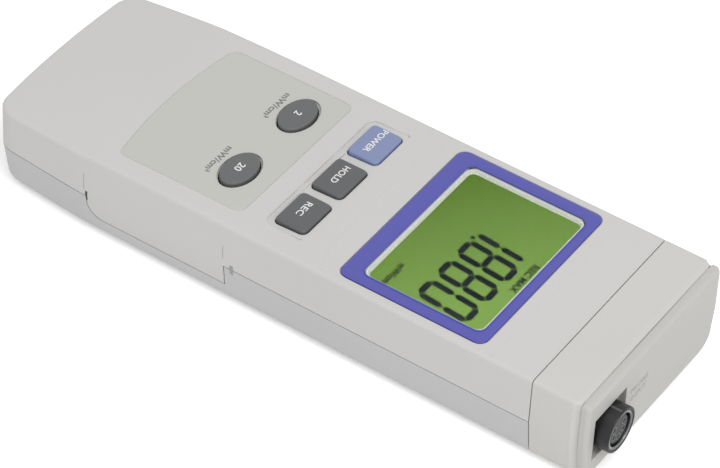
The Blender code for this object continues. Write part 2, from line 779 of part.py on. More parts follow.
def display_window(look):
    top = CASE_HEIGHT + BEZEL_STANDOUT - FIT
    outline = rounded_rectangle((0, VIEW_Y), VIEW_WIDTH - 2 * FIT, VIEW_LENGTH - 2 * FIT,
                                VIEW_RADIUS - FIT)
    return prism("display_window", outline, top - WINDOW_THICK, top, look)


def view_box(grow):
    return ((-VIEW_WIDTH / 2 - grow, VIEW_Y - VIEW_LENGTH / 2 - grow),
            (VIEW_WIDTH / 2 + grow, VIEW_Y + VIEW_LENGTH / 2 + grow))


def lcd_frame(look):
    """The tray that carries the display's glass and its light over the board."""
    frame = flat_box("lcd_frame", view_box(LCD_FRAME_EDGE), BOARD_TOP_Z + FIT, LCD_FRAME_TOP_Z,
                     look)
    boolean(frame, flat_box("lcd_view", view_box(FIT), LCD_TOP_Z - FIT, 2 * CASE_HEIGHT))
    room = flat_box("lcd_room", view_box(LCD_FRAME_EDGE - FIT * 3), 0.0, LCD_TOP_Z)
    boolean(frame, room)
    return frame


def lcd_stack(glass_look, light_look, strip_look):
    """Glass, light plate and the two rubber strips that connect the glass to the board."""
    glass_z = LCD_TOP_Z - FIT - LCD_THICK
    glass_grow = LCD_FRAME_EDGE - FIT * 4
    flat_box("lcd_glass", view_box(glass_grow), glass_z, LCD_TOP_Z - FIT, glass_look)
    strip_y = VIEW_LENGTH / 2 + glass_grow - STRIP_WIDTH / 2
    for side, name in ((-1, "contact_strip_lower"), (1, "contact_strip_upper")):
        middle = VIEW_Y + side * strip_y
        box(name,
            (-VIEW_WIDTH / 2 + STRIP_WIDTH, middle - STRIP_WIDTH / 2, BOARD_TOP_Z + FIT),
            (VIEW_WIDTH / 2 - STRIP_WIDTH, middle + STRIP_WIDTH / 2, glass_z - FIT),
            strip_look)
    light_y = strip_y - STRIP_WIDTH / 2 - FIT
    box("backlight_plate",
        (-VIEW_WIDTH / 2, VIEW_Y - light_y, glass_z - FIT - BACKLIGHT_THICK),
        (VIEW_WIDTH / 2, VIEW_Y + light_y, glass_z - FIT), light_look)


def make_key(name, shape, middle, look):
    """A key cap whose flange is caught under the face; its origin is on its own axis."""
    standout = KEY_STANDOUT if shape == "block" else KEY_STANDOUT * 0.9
    top = CASE_HEIGHT + standout
    origin = (*middle, top)
    builder = prism_builder(key_outline(shape, middle, 0.0), FLANGE_TOP_Z - KEY_FLANGE, top)
    rim = [e for e in builder.edges if min(v.co.z for v in e.verts) > top - KEY_EDGE]
    bmesh.ops.bevel(builder, geom=rim, offset=KEY_EDGE, segments=2, profile=0.5, affect="EDGES")
    cap = finish(name, builder, look, origin)
    flange = prism(name + "_flange", key_outline(shape, middle, KEY_FLANGE),
                   FLANGE_TOP_Z - KEY_FLANGE, FLANGE_TOP_Z)
    boolean(cap, flange, "UNION")
    return cap


def key_mat(look):
    """The rubber mat on the board, with a dome under each key."""
    low = BOARD_TOP_Z + FIT
    front = KEY_Y + KEY_LENGTH / 2
    half = POST_X - POST_RADIUS - FIT
    mat = box("key_mat", (-half, BOARD_GRIP_Y + FIT, low), (half, front, low + MAT_THICK), look)
    dome_top = FLANGE_TOP_Z - KEY_FLANGE - KEY_TRAVEL - 2 * FIT
    spots = [(x, y, low + MAT_THICK / 2) for _, _, (x, y) in key_spots()]
    domes = rods("mat_domes", spots, dome_top - low - MAT_THICK / 2, DOME_RADIUS,
                 tip_radius=DOME_RADIUS * 0.75)
    boolean(mat, domes, "UNION")
    return mat


def main_board(look):
    half = BOARD_WIDTH / 2
    board = box("main_board", (-half, BOARD_GRIP_Y, BOARD_Z), (half, BOARD_FRONT_Y, BOARD_TOP_Z),
                look)
    holes = rods("board_holes", [(x, y, 0) for x, y in post_spots()], CASE_HEIGHT,
                 PILOT_RADIUS)
    boolean(board, holes)
    return board


def board_screws(look):
    """Four screws that hold the board up to the posts of the face."""
    for number, (x, y) in enumerate(post_spots(), 1):
        screw(f"board_screw_{number}", (x, y, BOARD_Z - FIT - HEAD_THICK), HEAD_RADIUS,
              HEAD_THICK, PILOT_RADIUS - 2 * FIT, BOARD_SCREW_LENGTH, look)


def chips(look):
    """The processor between the keys and the display, and two amplifiers under the board."""
    middle_y = (KEY_Y + VIEW_Y - VIEW_LENGTH / 2) / 2 + 1.0 * MM
    low = BOARD_TOP_Z + FIT
    box("processor", (-7 * MM, middle_y - 4 * MM, low), (7 * MM, middle_y + 4 * MM, low + CHIP_THICK),
        look)
    high = BOARD_Z - FIT
    for side, name in ((-1, "amplifier_left"), (1, "amplifier_right")):
        x = side * 14 * MM
        box(name, (x - 3 * MM, VIEW_Y - 2.5 * MM, high - CHIP_THICK),
            (x + 3 * MM, VIEW_Y + 2.5 * MM, high), look)


# ---------------------------------------------------------------- battery and stand


def battery(case_look, stud_look, snap_look, lead_look):
    """A block battery with its two studs, the snap on them and the snap's leads."""
    box("battery", (-BATTERY_WIDTH / 2, BATTERY_GRIP_Y, BATTERY_Z),
        (BATTERY_WIDTH / 2, BATTERY_TOP_Y, BATTERY_Z + BATTERY_DEPTH), case_look, 1.5 * MM)
    middle_z = BATTERY_Z + BATTERY_DEPTH / 2
    studs = [(side * STUD_PITCH / 2, BATTERY_TOP_Y + FIT, middle_z) for side in (-1, 1)]
    for name, start in zip(("battery_stud_left", "battery_stud_right"), studs):
        rods(name, [start], STUD_LENGTH, STUD_RADIUS, stud_look, "Y",
             tip_radius=STUD_RADIUS * 0.9)
    snap_y = BATTERY_TOP_Y + 2 * FIT
    snap = box("battery_snap",
               (-STUD_PITCH / 2 - 6 * MM, snap_y, middle_z - 5.5 * MM),
               (STUD_PITCH / 2 + 6 * MM, snap_y + SNAP_THICK, middle_z + 5.5 * MM),
               snap_look, 0.8 * MM)
    room = rods("stud_room", [(x, snap_y - WALL, z) for x, _, z in studs],
                WALL + STUD_LENGTH, STUD_RADIUS + FIT, axis="Y")
    boolean(snap, room)
    lead_y = snap_y + SNAP_THICK + FIT + LEAD_RADIUS
    rise_y = well_box()[1][1] + WELL_WALL + 3 * LEAD_RADIUS
    for side, name in ((-1, "battery_lead_left"), (1, "battery_lead_right")):
        x = side * 3 * MM
        lead(name, [(x, lead_y - LEAD_RADIUS, middle_z),
                    (x, lead_y + LEAD_RADIUS, middle_z + 0.4 * MM),
                    (x, rise_y - LEAD_RADIUS, middle_z + 2.0 * MM),
                    (x, rise_y, middle_z + 4.0 * MM),
                    (x, rise_y, BOARD_Z - FIT)], LEAD_RADIUS, lead_look)


def battery_cover(look, pad_look, screw_look):
    """The cover flush with the back, a foam pad inside it and the screw in its tab."""
    cover = flat_box("battery_cover", cover_box(), 0.1 * MM, COVER_THICK, look)
    screw_y = cover_screw_y()
    boolean(cover, rods("cover_screw_hole", [(0, screw_y, -WALL)], 2 * CASE_HEIGHT,
                        PILOT_RADIUS))
    boolean(cover, rods("cover_screw_sink", [(0, screw_y, -WALL)],
                        WALL + COVER_HEAD_Z + COVER_HEAD_THICK + COVER_SCREW_GAP,
                        HEAD_RADIUS + FIT))
    grooves = bmesh.new()
    for step in range(5):
        y = cover_box()[0][1] + (8 + 2 * step) * MM
        add_box(grooves, (-8 * MM, y, -WALL), (8 * MM, y + 0.9 * MM, 0.6 * MM))
    boolean(cover, finish("cover_grooves", grooves))
    screw("cover_screw", (0, screw_y, COVER_HEAD_Z), HEAD_RADIUS, COVER_HEAD_THICK, SCREW_RADIUS,
          COVER_SCREW_LENGTH, screw_look)
    pad_y = (BATTERY_TOP_Y + BATTERY_GRIP_Y) / 2
    pad = ((-8 * MM, pad_y - 14 * MM), (8 * MM, pad_y + 14 * MM))
    flat_box("battery_pad", pad, COVER_FLOOR_Z, COVER_FLOOR_Z + PAD_THICK, pad_look)


def tilt_stand(look):
    """A plate that swings out of the back on two pins; its origin is on the pins' axis."""
    axis = (0, STAND_HINGE_Y, STAND_AXIS_Z)
    builder = bmesh.new()
    half = STAND_WIDTH / 2
    add_box(builder, (-half, STAND_HINGE_Y - STAND_LENGTH, STAND_AXIS_Z - STAND_BARREL),
            (half, STAND_HINGE_Y, STAND_AXIS_Z - STAND_BARREL + STAND_THICK))
    stand = finish("tilt_stand", builder, look, axis)
    boolean(stand, rods("stand_barrel", [(-half, *axis[1:])], STAND_WIDTH, STAND_BARREL,
                        axis="X"), "UNION")
    reach = half + STAND_PIN_LENGTH
    boolean(stand, rods("stand_pins", [(-reach, *axis[1:])], 2 * reach, STAND_PIN_RADIUS,
                        axis="X"), "UNION")
    grip_y = STAND_HINGE_Y - STAND_LENGTH
    notch = rods("stand_notch", [(0, grip_y - 2 * MM, 0)], CASE_HEIGHT, 7.0 * MM, sides=24)
    boolean(stand, notch)
    return stand


# ---------------------------------------------------------------- probe socket

def probe_socket(barrel_look, shield_look, insert_look, contact_look, board_look):
    """A round socket: barrel, metal shield, insert with its contacts and a small board."""
    centre = (SOCKET_X, SOCKET_BACK_Y, SOCKET_Z)
    inner = SOCKET_RADIUS - SOCKET_WALL
    lip = 0.35 * MM
    turned("probe_socket", [
        (SOCKET_RADIUS, SOCKET_DEPTH - lip), (SOCKET_RADIUS, 0), (inner, 0),
        (inner, SOCKET_DEPTH), (SOCKET_RADIUS - lip, SOCKET_DEPTH)],
        barrel_look, centre, SOCKET_TURN, 32)
    base = inner - FIT
    base_length = 4.0 * MM
    insert_length = SOCKET_DEPTH - INSERT_SETBACK
    insert = turned("socket_insert", [
        (INSERT_RADIUS, insert_length), (INSERT_RADIUS, base_length), (base, base_length),
        (base, 0), (0, 0), (0, insert_length)], insert_look, centre, SOCKET_TURN, 24)
    spots = []
    for step in range(CONTACT_COUNT):
        angle = math.radians(90 + 360 * (step + 0.5) / CONTACT_COUNT)
        spots.append((SOCKET_X + CONTACT_PITCH_RADIUS * math.cos(angle),
                      SOCKET_Z + CONTACT_PITCH_RADIUS * math.sin(angle)))
    well_depth = 8.0 * MM
    holes = rods("contact_wells", [(x, SOCKET_TIP_Y - well_depth, z) for x, z in spots],
                 well_depth + WALL, CONTACT_RADIUS + FIT, axis="Y", sides=12)
    boolean(insert, holes)
    shield = inner - FIT
    turned("socket_shield", [
        (shield, SOCKET_DEPTH - lip), (shield, base_length + FIT),
        (shield - SHIELD_WALL, base_length + FIT), (shield - SHIELD_WALL, SOCKET_DEPTH - lip)],
        shield_look, centre, SOCKET_TURN, 32)
    contact_y = SOCKET_TIP_Y - well_depth + FIT
    contact_length = well_depth - INSERT_SETBACK - 1.0 * MM
    bore = CONTACT_RADIUS * 0.55
    for number, (x, z) in enumerate(spots, 1):
        turned(f"socket_contact_{number}", [
            (CONTACT_RADIUS, contact_length), (CONTACT_RADIUS, 0), (0, 0), (0, MM),
            (bore, MM), (bore, contact_length)],
            contact_look, (x, contact_y, z), SOCKET_TURN, 12)
    board_y = SOCKET_BACK_Y - FIT
    half = SOCKET_BOARD_SIZE / 2
    right = HALF_WIDTH - 2 * WALL - SPIGOT_WALL - 1.2 * MM
    box("socket_board", (right - SOCKET_BOARD_SIZE, board_y - BOARD_THICK, SOCKET_Z - half),
        (right, board_y, SOCKET_Z + half), board_look)


def build():
    grey = material("grey_abs", (0.63, 0.62, 0.60), 0.45)
    grey_back = material("grey_abs_back", (0.54, 0.54, 0.56), 0.5)
    label = material("label_film", (0.57, 0.60, 0.53), 0.5)
    blue = material("blue_bezel", (0.10, 0.10, 0.46), 0.35)
    clear = material("clear_window", (0.9, 0.95, 0.9), 0.08, alpha=0.2)
    green = material("display_green", (0.16, 0.35, 0.05), 0.25)
    white = material("white_plastic", (0.75, 0.75, 0.72), 0.5)
    dark_key = material("dark_key", (0.10, 0.10, 0.105), 0.5)
    power = material("power_key_blue", (0.22, 0.28, 0.52), 0.45)
    rubber = material("black_rubber", (0.02, 0.02, 0.02), 0.8)
    foam = material("grey_foam", (0.12, 0.12, 0.12), 0.9)
    board = material("green_board", (0.02, 0.16, 0.05), 0.45)
    black = material("black_plastic", (0.012, 0.012, 0.013), 0.35)
    steel = material("steel", (0.6, 0.6, 0.6), 0.3, 1.0)
    plated = material("plated_brass", (0.75, 0.68, 0.45), 0.3, 1.0)
    wrap = material("battery_wrap", (0.04, 0.05, 0.10), 0.4)

    inner = finish("case_room", case_builder(WALL, SEAM_Y + CAP_LENGTH))
    front_shell(grey, inner)
    back_shell(grey_back, inner)
    case_screws(steel)
    end_cap(grey)
    end_plate(grey)
    label_panel(label)
    display_bezel(blue)
    display_window(clear)
    lcd_frame(white)
    lcd_stack(green, white, rubber)
    for name, shape, middle in key_spots():
        make_key(name, shape, middle, power if name == "power_key" else dark_key)
    key_mat(rubber)
    main_board(board)
    board_screws(steel)
    chips(black)
    battery(wrap, steel, rubber, rubber)
    battery_cover(grey_back, foam, steel)
    tilt_stand(grey_back)
    probe_socket(black, steel, black, plated, board)


clear_scene()
parts = make_collection(PARTS_NAME)
cutters = make_collection(CUTTERS_NAME)
build()
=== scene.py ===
"""Looks of a handheld light meter: a two-part moulded case with a plug-in probe socket on its end.

Everything is in metres in the frame's own axes: +Y to the probe end, +Z out of the face.
"""
import math

import bmesh
import bpy
import numpy as np
from mathutils import Matrix, Vector
from mathutils.bvhtree import BVHTree


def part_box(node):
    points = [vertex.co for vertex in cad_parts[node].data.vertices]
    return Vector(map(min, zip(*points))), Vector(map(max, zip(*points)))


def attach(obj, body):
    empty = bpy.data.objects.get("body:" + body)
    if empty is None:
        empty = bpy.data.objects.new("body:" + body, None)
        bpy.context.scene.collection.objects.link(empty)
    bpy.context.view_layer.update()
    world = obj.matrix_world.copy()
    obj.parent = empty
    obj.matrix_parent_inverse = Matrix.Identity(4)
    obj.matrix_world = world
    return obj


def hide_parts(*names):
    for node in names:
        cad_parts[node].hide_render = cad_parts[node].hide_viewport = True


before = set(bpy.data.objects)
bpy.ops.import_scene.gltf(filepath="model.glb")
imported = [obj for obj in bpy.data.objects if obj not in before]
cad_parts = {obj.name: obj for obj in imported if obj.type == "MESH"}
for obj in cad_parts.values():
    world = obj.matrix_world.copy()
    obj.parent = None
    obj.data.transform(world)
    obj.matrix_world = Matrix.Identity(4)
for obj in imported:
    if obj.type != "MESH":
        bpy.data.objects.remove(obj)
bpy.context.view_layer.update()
scene = bpy.context.scene
MM = 0.001


# ---- Camera -----------------------------------------------------------------------------------
# A long lens looks down on the face from the right of the probe end, as a catalogue view does.
# The aim point is near the middle of the case, and the camera is rolled a little about its axis.
AZIMUTH = math.radians(122.68)
ELEVATION = math.radians(43.43)
ROLL = math.radians(2.755)
probe_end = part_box("end_plate")[1].y
AIM = Vector((6.4 * MM, probe_end - 92.9 * MM, 20.0 * MM))
DISTANCE = 1070 * MM

lens = bpy.data.cameras.new("camera")
lens.sensor_width = 36
lens.lens = 193.1
lens.shift_x = 0.0046
lens.clip_start = 0.05
camera = bpy.data.objects.new("camera", lens)
turn = (Matrix.Rotation(AZIMUTH, 4, "Z") @ Matrix.Rotation(math.pi / 2 - ELEVATION, 4, "X")
        @ Matrix.Rotation(ROLL, 4, "Z"))
camera.matrix_world = Matrix.Translation(AIM) @ turn @ Matrix.Translation((0, 0, DISTANCE))
scene.collection.objects.link(camera)
scene.camera = camera


# ---- Case -------------------------------------------------------------------------------------
# Two injection-moulded ABS half shells in light warm grey, screwed together from behind.
# The mould is spark-eroded, so every outer face has a fine even grain and a soft, low gloss,
# and the press leaves a faint drift of tone along the length of the case.
CASE_GREY = "#d2d1cf"
BACK_GREY = "#c9c9ca"
CASE_GRAIN = 0.55 * MM
CASE_ROUND = 0.15 * MM


def linear(code):
    """An sRGB hex colour as linear RGBA."""
    parts = [int(code[i:i + 2], 16) / 255 for i in (1, 3, 5)]
    return [p / 12.92 if p <= 0.04045 else ((p + 0.055) / 1.055) ** 2.4 for p in parts] + [1.0]


def add(tree, kind, inputs=None, **settings):
    """Adds a node; each input is a plain value or another node's output socket."""
    node = tree.nodes.new(kind)
    for name, value in settings.items():
        setattr(node, name, value)
    for name, value in (inputs or {}).items():
        if isinstance(value, bpy.types.NodeSocket):
            tree.links.new(value, node.inputs[name])
        else:
            node.inputs[name].default_value = value
    return node


def start_material(name, **sockets):
    """A new material: its tree, its Object coordinates and its Principled shader with sockets set."""
    look = bpy.data.materials.new(name)
    look.use_nodes = True
    tree = look.node_tree
    tree.nodes.clear()
    place = add(tree, "ShaderNodeTexCoord").outputs["Object"]
    shader = add(tree, "ShaderNodeBsdfPrincipled",
                 {name.replace("_", " "): value for name, value in sockets.items()})
    add(tree, "ShaderNodeOutputMaterial", {"Surface": shader.outputs[0]})
    return look, tree, place, shader


def grained(name, colour, roughness, grain, depth=0.012 * MM, drift=0.03, **sockets):
    """A moulded or coated surface: even grain in the height and the gloss, slow drift in the tone."""
    look, tree, place, shader = start_material(name, **sockets)
    fine = add(tree, "ShaderNodeTexNoise", {"Vector": place, "Scale": 1 / grain, "Detail": 3.0})
    slow = add(tree, "ShaderNodeTexNoise", {"Vector": place, "Scale": 1 / (45 * MM), "Detail": 1.0})
    tone = add(tree, "ShaderNodeMapRange", {"Value": slow.outputs["Fac"], "To Min": 1 - drift,
                                            "To Max": 1 + drift})
    speck = add(tree, "ShaderNodeMapRange", {"Value": fine.outputs["Fac"], "To Min": 1 - drift / 2,
                                             "To Max": 1 + drift / 2})
    shade = add(tree, "ShaderNodeMath", {0: tone.outputs[0], 1: speck.outputs[0]},
                operation="MULTIPLY")
    paint = add(tree, "ShaderNodeVectorMath", {0: linear(colour)[:3], "Scale": shade.outputs[0]},
                operation="SCALE")
    gloss = add(tree, "ShaderNodeMapRange", {"Value": fine.outputs["Fac"],
                                             "To Min": roughness - 0.06, "To Max": roughness + 0.06})
    bump = add(tree, "ShaderNodeBump", {"Height": fine.outputs["Fac"], "Distance": depth})
    tree.links.new(paint.outputs[0], shader.inputs["Base Color"])
    tree.links.new(gloss.outputs[0], shader.inputs["Roughness"])
    tree.links.new(bump.outputs[0], shader.inputs["Normal"])
    return look


def settle(piece, look, body, slot, *replaced):
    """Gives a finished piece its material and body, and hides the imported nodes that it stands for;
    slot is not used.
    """
    piece.data.materials.clear()
    piece.data.materials.append(look)
    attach(piece, body)
    if replaced:
        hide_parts(*replaced)
    return piece


def dressed(node, name, rounding, sharp=32):
    """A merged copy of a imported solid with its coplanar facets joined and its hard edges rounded."""
    piece = bpy.data.objects.new(name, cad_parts[node].data.copy())
    scene.collection.objects.link(piece)
    for extra in ("custom_normal", "sharp_face", "sharp_edge"):
        if extra in piece.data.attributes:
            piece.data.attributes.remove(piece.data.attributes[extra])
    form = bmesh.new()
    form.from_mesh(piece.data)
    bmesh.ops.remove_doubles(form, verts=form.verts, dist=0.002 * MM)
    bmesh.ops.dissolve_limit(form, angle_limit=math.radians(0.4), verts=form.verts,
                             edges=form.edges)
    form.to_mesh(piece.data)
    form.free()
    piece.data.shade_smooth()
    piece.data.set_sharp_from_angle(angle=math.radians(sharp))
    edge = piece.modifiers.new("edge", "BEVEL")
    edge.width = rounding
    edge.segments = 2
    edge.limit_method = "ANGLE"
    edge.angle_limit = math.radians(sharp)
    edge.use_clamp_overlap = False
    edge.miter_outer = "MITER_ARC"
    shading = piece.modifiers.new("shading", "WEIGHTED_NORMAL")
    shading.keep_sharp = True
    return piece


case_abs = grained("case_ABS_spark_eroded", CASE_GREY, 0.55, CASE_GRAIN)
back_abs = grained("back_ABS_spark_eroded", BACK_GREY, 0.58, CASE_GRAIN)
front_case = settle(dressed("front_shell", "front_case", CASE_ROUND), case_abs, "root",
                    "case_plastic", "front_shell")
back_case = settle(dressed("back_shell", "back_case", CASE_ROUND), back_abs, "root",
                   "back_plastic", "back_shell")


# ---- Seams in the case sides ------------------------------------------------------------------
# Where the mould's side cores meet, the case keeps two faint witness lines on each long side,
# and two short grooves that let the halves be prised apart. Neither is cut into the ABS: each is
# a thin strip laid on the side in a darker grey, painted shade of the seam lines and grooves.
LINE_WIDTH = 0.28 * MM
GROOVE_WIDTH = 0.85 * MM
NOTCH_WIDTH = 1.3 * MM
# (distance from the probe end, height) of each mark's two ends, in mm
WITNESS_LINES = (((166.7, 16.6), (166.7, 22.6)), ((118.6, 17.4), (118.6, 22.1)))
GROOVE = ((165.9, 13.0), (165.9, 16.3))
NOTCH = ((115.6, 12.6), (115.6, 16.1))


def ribbon(name, path, normals, width, height):
    """A low strip along a path: at each point a flat rounded section set across the path."""
    path, normals = np.array(path), np.array(normals)
    along = np.gradient(path, axis=0)
    across = np.cross(along, normals)
    across /= np.linalg.norm(across, axis=1, keepdims=True)
    turn_ = np.linspace(0, 2 * math.pi, 8, endpoint=False) + math.pi / 8
    rings = (path[:, None] + across[:, None] * (np.cos(turn_) * width / 2)[None, :, None]
             + normals[:, None] * (np.sin(turn_) * height)[None, :, None])
    return loft(name, rings)


def loft(name, rings, loop=False):
    """A closed surface through rings of points, shaped (rings, points, 3).

    Each quad joins point j of ring i to its neighbours; the ends are flat faces, or with loop
    the last ring joins the first. The faces are turned outwards at the end."""
    count, size = rings.shape[:2]
    here = np.arange(count if loop else count - 1)[:, None] * size
    step = np.arange(size)[None]
    near = here + step
    side = here + (step + 1) % size
    far = (near + size) % (count * size)
    corner = (side + size) % (count * size)
    faces = np.stack([near, side, corner, far], axis=-1).reshape(-1, 4).tolist()
    if not loop:
        faces += [list(range(size))[::-1], list(range((count - 1) * size, count * size))]
    mesh = bpy.data.meshes.new(name)
    mesh.from_pydata(rings.reshape(-1, 3).tolist(), [], faces)
    form = bmesh.new()
    form.from_mesh(mesh)
    bmesh.ops.recalc_face_normals(form, faces=form.faces)
    form.to_mesh(mesh)
    form.free()
    mesh.shade_smooth()
    mesh.set_sharp_from_angle(angle=math.radians(40))
    piece = bpy.data.objects.new(name, mesh)
    scene.collection.objects.link(piece)
    return piece


def touching(*pieces):
    """The joined surface of the pieces as they now stand, to lay marks on."""
    bpy.context.view_layer.update()
    graph = bpy.context.evaluated_depsgraph_get()
    form = bmesh.new()
    for piece in pieces:
        form.from_mesh(piece.evaluated_get(graph).to_mesh())
    tree = BVHTree.FromBMesh(form)
    form.free()
    return tree


case_surface = touching(front_case, back_case)


def side_mark(name, ends, width, side):
    """A strip between two marks, laid on the case's long side."""
    spots = np.linspace(np.array(ends[0]), np.array(ends[1]), 9) * MM
    hits = [case_surface.ray_cast(Vector((side * 0.06, probe_end - back, z)),
                                  Vector((-side, 0, 0))) for back, z in spots]
    hits = [hit for hit in hits if hit[0] is not None]
    return ribbon(name, [hit[0] for hit in hits], [hit[1] for hit in hits], width, 0.03 * MM)


# Painted shade: these darker greys stand for the shade inside the seam lines, groove and notch.
shadow_line = grained("painted_shade_of_mould_seam", "#a9a9aa", 0.7, CASE_GRAIN)
groove_shade_strip = grained("painted_shade_of_prise_groove", "#47484a", 0.8, CASE_GRAIN)
notch_shade_strip = grained("painted_shade_of_prise_notch", "#a3a4a6", 0.8, CASE_GRAIN)
for side, hand in ((1, "right"), (-1, "left")):
    for number, ends in enumerate(WITNESS_LINES, 1):
        settle(side_mark(f"witness_line_{hand}_{number}", ends, LINE_WIDTH, side), shadow_line,
               "root", "case_plastic")
    settle(side_mark(f"prise_groove_{hand}", GROOVE, GROOVE_WIDTH, side), groove_shade_strip, "root",
           "case_plastic")
    settle(side_mark(f"prise_notch_{hand}", NOTCH, NOTCH_WIDTH, side), notch_shade_strip, "root",
           "case_plastic")


# ---- Raised pad round the display -------------------------------------------------------------
# The face is moulded a touch proud round the display, and the step shows only as a soft crease
# on the key side and on the probe side, both bending outwards at the case's long edges.
CREASE_WIDTH = 1.7 * MM
CREASE_RISE = 0.07 * MM
CREASE_REACH = 32.3 * MM
KEY_SIDE_Y = probe_end - 89.9 * MM
PROBE_SIDE_Y = probe_end - 30.5 * MM
face_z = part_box("front_shell")[1].z

for name, start_y, bend_y in (("pad_crease_keys", KEY_SIDE_Y, 3.4 * MM),
                              ("pad_crease_probe", PROBE_SIDE_Y, -1.6 * MM)):
    across = np.linspace(-CREASE_REACH, CREASE_REACH, 41)
    path = np.column_stack([across, start_y + bend_y * (across / CREASE_REACH) ** 4,
                            np.full(41, face_z)])
    settle(ribbon(name, path, np.tile((0, 0, 1), (41, 1)), CREASE_WIDTH, CREASE_RISE), case_abs,
           "root", "case_plastic")


# ---- End cap and end plate --------------------------------------------------------------------
# The probe end is a separate ABS cap with a flat plate snapped on its end, in the same grey.
# The plate is written a little greyer than the cap, and it carries the words at the socket.
CAP_GREY = "#d1d0cc"
PLATE_GREY = "#c4c3bf"
cap_abs = grained("cap_ABS_spark_eroded", CAP_GREY, 0.55, CASE_GRAIN)
plate_abs = grained("plate_ABS_satin", PLATE_GREY, 0.5, CASE_GRAIN)
settle(dressed("end_cap", "end_cover", CASE_ROUND), cap_abs, "root", "case_plastic", "end_cap")
plate_low, plate_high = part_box("end_plate")
end_face = settle(dressed("end_plate", "end_face", CASE_ROUND), plate_abs, "root",
                  "case_plastic", "end_plate")
collar_centre = (plate_low + plate_high) / 2
plate_surface = touching(end_face)
COLLAR = ((-1.9 * MM, 1.4 * MM), (-1.0 * MM, 0.8 * MM), (-0.2 * MM, 0.5 * MM),
          (0.5 * MM, 0.5 * MM))


def skin_ring(surface, centre, y, count=160):
    """Directions round an axis along Y, and where rays coming in along them meet the surface."""
    turn_ = np.linspace(0, 2 * math.pi, count, endpoint=False)
    inward = np.column_stack([-np.cos(turn_), np.zeros(count), -np.sin(turn_)])
    middle = Vector((centre.x, y, centre.z))
    hits = [surface.ray_cast(middle - Vector(way) * 0.06, Vector(way))[0] for way in inward]
    return np.array(hits), inward


skin, inward = skin_ring(plate_surface, collar_centre, plate_low.y + 0.4 * MM)
skin[:, 1] = plate_low.y
rings = np.array([skin + inward * inset + np.array([0, y, 0]) for y, inset in COLLAR])
settle(loft("end_collar", rings), plate_abs, "root", "case_plastic")


# ---- Words on the end plate -------------------------------------------------------------------
# The two words beside the socket are pad-printed in a grey only a little darker than the plate.
# They read from behind the meter, so they run towards -X with their tops up.
WORD_GREY = "#adada8"
PROBE_CENTRE = (7.6 * MM, 18.6 * MM)
INPUT_CENTRE = (7.6 * MM, 15.6 * MM)


def words(name, text, width, height, place, surface=None, thick=0.03 * MM, bold=0.012):
    """Flat printed words of the given width and capital height, set out by the matrix place.

    The letters are filled outlines scaled from their own box, then laid on a surface if one is
    given: each point drops along -Z to just above it. bold thickens the strokes, as a share of
    the letter height."""
    line = bpy.data.curves.new(name, "FONT")
    line.body = text
    line.extrude = 0.01
    line.resolution_u = 4
    line.offset = bold
    writing = bpy.data.objects.new(name, line)
    scene.collection.objects.link(writing)
    bpy.context.view_layer.update()
    mesh = bpy.data.meshes.new_from_object(
        writing.evaluated_get(bpy.context.evaluated_depsgraph_get()))
    bpy.data.objects.remove(writing)
    points = np.zeros(len(mesh.vertices) * 3)
    mesh.vertices.foreach_get("co", points)
    points = points.reshape(-1, 3)
    low, high = points.min(0), points.max(0)
    scale = np.array([width, height, thick]) / (high - low)
    points = (points - [(low[0] + high[0]) / 2, (low[1] + high[1]) / 2, low[2]]) * scale
    placed = np.array([place @ Vector(p) for p in points])
    if surface is not None:
        for point, height_above in zip(placed, points[:, 2]):
            hit = surface.ray_cast(Vector((point[0], point[1], 0.05)), Vector((0, 0, -1)))
            if hit[0] is not None:
                point[2] = hit[0].z + 0.012 * MM + height_above
    mesh.vertices.foreach_set("co", placed.ravel())
    mesh.update()
    form = bmesh.new()
    form.from_mesh(mesh)
    bmesh.ops.remove_doubles(form, verts=form.verts, dist=0.002 * MM)
    bmesh.ops.recalc_face_normals(form, faces=form.faces)
    form.to_mesh(mesh)
    form.free()
    piece = bpy.data.objects.new(name, mesh)
    scene.collection.objects.link(piece)
    return piece


faint_ink = grained("pad_printed_ink_grey", WORD_GREY, 0.6, 0.2 * MM)
for text, width, centre in (("PROBE", 8.8 * MM, PROBE_CENTRE), ("INPUT", 7.9 * MM, INPUT_CENTRE)):
    place = (Matrix.Translation((centre[0], probe_end + 0.005 * MM, centre[1]))
             @ Matrix.Rotation(math.pi, 4, "Z") @ Matrix.Rotation(math.pi / 2, 4, "X"))
    settle(words(f"word_{text.lower()}", text, width, 1.8 * MM, place), faint_ink, "root",
           "case_plastic")


# ---- Display bezel ----------------------------------------------------------------------------
# A thin frame of ABS, sprayed a satin violet blue, that is bonded into a recess round the display.
# Its outer edge is rounded over and its opening is chamfered down to the window.
BEZEL_BLUE = "#5253ae"
BEZEL_RADIUS = 2.8 * MM
VIEW_RADIUS = 2.4 * MM
ROUND_OVER = 0.3 * MM


def rounded(width, length, radius, inset, centre=(0, 0), corner=10):
    """Points round a rounded rectangle moved inwards by inset: four arcs of radius - inset."""
    turn_ = np.linspace(0, math.pi / 2, corner)
    quarter = np.arange(4)[:, None] * math.pi / 2
    angle = (quarter + turn_[None]).ravel()
    sign_x = np.repeat([1, -1, -1, 1], corner)
    sign_y = np.repeat([1, 1, -1, -1], corner)
    reach = max(radius - inset, 0.02 * MM)
    x = sign_x * (width / 2 - inset - reach) + reach * np.cos(angle)
    y = sign_y * (length / 2 - inset - reach) + reach * np.sin(angle)
    return np.stack([x + centre[0], y + centre[1]], axis=-1)


def level(outline, z):
    """An outline at one height as ring points."""
    return np.column_stack([outline, np.full(len(outline), z)])


